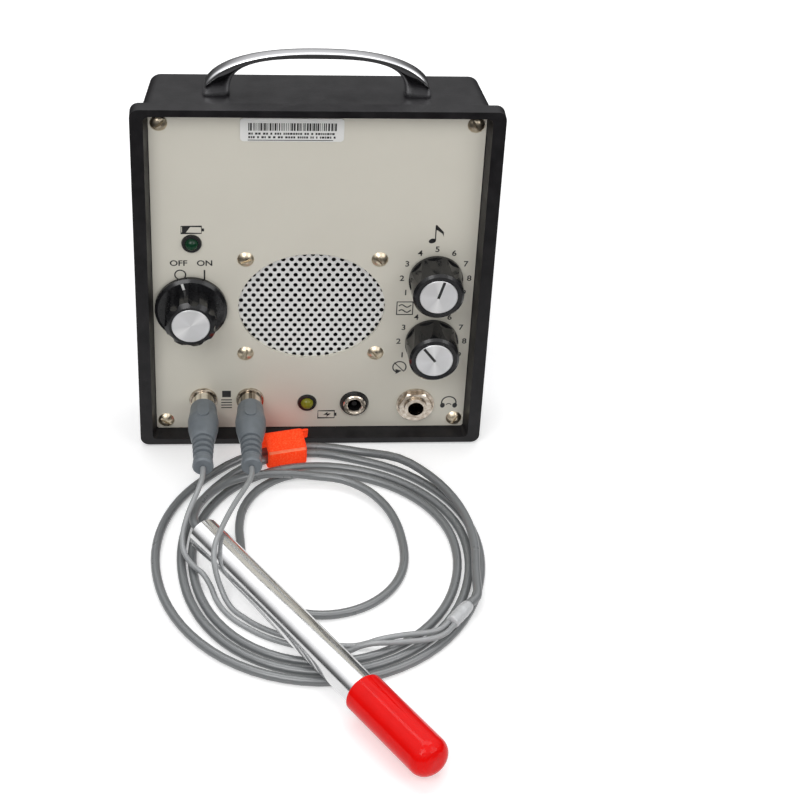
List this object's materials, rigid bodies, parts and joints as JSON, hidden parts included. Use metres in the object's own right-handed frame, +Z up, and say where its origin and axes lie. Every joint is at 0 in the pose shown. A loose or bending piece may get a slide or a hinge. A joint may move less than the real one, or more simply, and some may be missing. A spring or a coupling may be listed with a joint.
{
  "type": "non-directional doppler",
  "caption": "Bench audio doppler: handled case with recessed panel, speaker grille and knobs, and a capped pencil probe on a coiled cable with two plugs.",
  "frame": {"origin": "on the table, under the middle of the box that holds the unit and the probe", "axes": "+Z up, the panel faces -Y, +X to the right as seen from the front"},
  "size_m": [0.14, 0.2296, 0.1685],
  "materials": {
    "case_plastic": "fine satin texture",
    "foot_rubber": "matte",
    "panel_paint": "cream eggshell",
    "label_white": "smooth",
    "screw_brass": "plated, slightly worn",
    "handle_chrome": "polished",
    "fixing_steel": "zinc plated",
    "grille_metal": "satin",
    "basket_metal": "dull black",
    "cone_paper": "fibrous, matte",
    "magnet_iron": "dull",
    "control_body": "moulded",
    "knob_black": "glossy",
    "disc_aluminium": "spun",
    "lens_green": "glossy, unlit",
    "lens_yellow": "glossy, unlit",
    "holder_black": "glossy",
    "socket_nickel": "nickel plated",
    "jack_black": "moulded",
    "board_green": "lacquered",
    "component_black": "moulded",
    "cell_sleeve": "shrink sleeve",
    "plug_grey": "moulded",
    "lead_grey": "smooth",
    "cable_grey": "smooth",
    "sleeve_clear": "glossy, milky",
    "tie_orange": "woven loop tape",
    "tube_steel": "polished",
    "face_resin": "cast",
    "bushing_black": "matte",
    "cap_red": "dipped, glossy"
  },
  "bodies": {
    "unit": {"case_shell": "case_plastic", "front_panel": "panel_paint", "label_plate": "label_white", "panel_screws": "screw_brass", "rubber_feet": "foot_rubber", "handle": "handle_chrome", "handle_screws": "fixing_steel", "speaker_grille": "grille_metal", "speaker_frame": "basket_metal", "speaker_cone": "cone_paper", "speaker_magnet": "magnet_iron", "speaker_screws": "screw_brass", "speaker_nuts": "fixing_steel", "power_switch": "control_body", "volume_control": "control_body", "suppression_control": "control_body", "control_nuts": "fixing_steel", "low_battery_lamp": "lens_green", "low_battery_holder": "holder_black", "charge_lamp": "lens_yellow", "charge_holder": "holder_black", "probe_socket_left": "socket_nickel", "probe_socket_right": "socket_nickel", "charger_socket": "jack_black", "charger_nut": "fixing_steel", "headphone_socket": "socket_nickel", "headphone_nut": "socket_nickel", "circuit_board": "board_green", "board_components": "component_black", "board_standoffs": "fixing_steel", "battery_pack": "cell_sleeve", "battery_clip": "fixing_steel", "plug_collar_left": "socket_nickel", "plug_grip_left": "plug_grey", "plug_collar_right": "socket_nickel", "plug_grip_right": "plug_grey", "lead_left": "lead_grey", "lead_right": "lead_grey", "junction_sleeve": "sleeve_clear", "probe_cable": "cable_grey", "cable_tie": "tie_orange", "probe_tube": "tube_steel", "probe_face": "face_resin", "probe_bushing": "bushing_black"},
    "power_dial": {"power_knob": "knob_black", "power_knob_disc": "disc_aluminium", "power_shaft": "fixing_steel"},
    "volume_dial": {"volume_knob": "knob_black", "volume_knob_disc": "disc_aluminium", "volume_shaft": "fixing_steel"},
    "suppression_dial": {"suppression_knob": "knob_black", "suppression_knob_disc": "disc_aluminium", "suppression_shaft": "fixing_steel"},
    "probe_cover": {"probe_cap": "cap_red"}
  },
  "joints": [
    {"name": "power_turn", "type": "hinge", "parent": "unit", "child": "power_dial", "pos_m": [-0.0486, 0.08078, 0.0644], "axis": [0, 1, 0], "range_deg": [0, 30]},
    {"name": "volume_turn", "type": "hinge", "parent": "unit", "child": "volume_dial", "pos_m": [0.048, 0.08078, 0.0776], "axis": [0, 1, 0], "range_deg": [-166, 134]},
    {"name": "suppression_turn", "type": "hinge", "parent": "unit", "child": "suppression_dial", "pos_m": [0.048, 0.08078, 0.0476], "axis": [0, 1, 0], "range_deg": [-112, 188]},
    {"name": "cap_slide", "type": "slide", "parent": "unit", "child": "probe_cover", "axis": [0.5358, -0.8443, 0], "range_m": [0, 0.04]}
  ]
}
